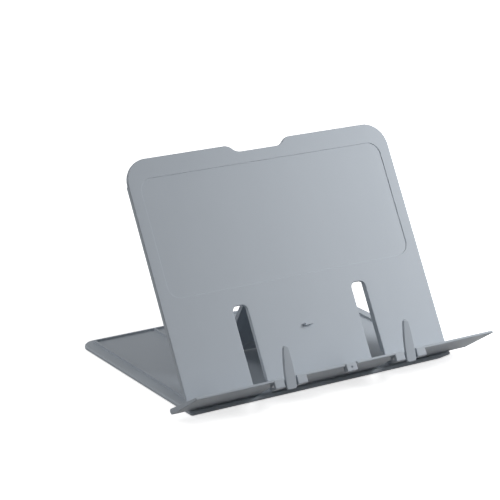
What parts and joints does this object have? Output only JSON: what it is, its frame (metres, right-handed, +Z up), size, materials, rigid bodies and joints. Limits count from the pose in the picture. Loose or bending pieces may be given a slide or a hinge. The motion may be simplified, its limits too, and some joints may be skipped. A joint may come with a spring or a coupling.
{
  "type": "folding book stand",
  "caption": "Folding stand that holds an open book or papers at a slant, with a ledge, two page clips, a hinged backrest, a notched prop leg and a base plate.",
  "frame": {"origin": "bottom centre of the box round the whole open stand, on the plane of the desk under the rubber feet", "axes": "+X along the ledge to the reader's right, +Y away from the reader, +Z up"},
  "size_m": [0.31, 0.2408, 0.195],
  "materials": {
    "platinum_plastic": "fine satin moulding, light cool grey",
    "bright_steel": "drawn bright wire",
    "black_rubber": "matt",
    "dark_nylon": "satin"
  },
  "bodies": {
    "base": {"base_plate": "platinum_plastic", "rubber_foot_front_left": "black_rubber", "rubber_foot_front_right": "black_rubber", "rubber_foot_rear_left": "black_rubber", "rubber_foot_rear_right": "black_rubber", "base_hinge_pin_left": "bright_steel", "base_hinge_pin_right": "bright_steel"},
    "backrest": {"backrest_panel": "platinum_plastic", "ledge_hinge_pin_left": "bright_steel", "ledge_hinge_pin_middle": "bright_steel", "ledge_hinge_pin_right": "bright_steel", "prop_hinge_rod": "bright_steel", "prop_rod_cap_left": "dark_nylon", "prop_rod_cap_right": "dark_nylon"},
    "ledge": {"ledge_tray": "platinum_plastic", "catch_block": "platinum_plastic", "clip_pin_left": "bright_steel", "clip_pin_right": "bright_steel", "clip_washer_left_left": "dark_nylon", "clip_washer_left_right": "dark_nylon", "clip_washer_right_left": "dark_nylon", "clip_washer_right_right": "dark_nylon"},
    "left_clip": {"page_clip_left": "platinum_plastic"},
    "right_clip": {"page_clip_right": "platinum_plastic"},
    "prop": {"prop_leg": "platinum_plastic", "prop_foot_rod": "bright_steel", "prop_foot_sleeve_left": "black_rubber", "prop_foot_sleeve_right": "black_rubber"}
  },
  "joints": [
    {"name": "backrest_tilt", "type": "hinge", "parent": "base", "child": "backrest", "pos_m": [0, -0.06654, 0.0071], "axis": [-1, 0, 0], "range_deg": [0, 60]},
    {"name": "prop_swing", "type": "hinge", "parent": "backrest", "child": "prop", "pos_m": [0, -0.02254, 0.08331], "axis": [1, 0, 0], "range_deg": [0, 120]},
    {"name": "ledge_fold", "type": "hinge", "parent": "backrest", "child": "ledge", "pos_m": [0, -0.0767, 0.0071], "axis": [-1, 0, 0], "range_deg": [0, 90]},
    {"name": "left_clip_swing", "type": "hinge", "parent": "ledge", "child": "left_clip", "pos_m": [-0.0625, -0.11439, 0.02643], "axis": [1, 0, 0], "range_deg": [-102.6, 77.4]},
    {"name": "right_clip_swing", "type": "hinge", "parent": "ledge", "child": "right_clip", "pos_m": [0.0625, -0.11439, 0.02643], "axis": [1, 0, 0], "range_deg": [-102.6, 77.4]}
  ],
  "couplings": [
    {"joint": "prop_swing", "follows": "backrest_tilt", "ratio": 2}
  ]
}
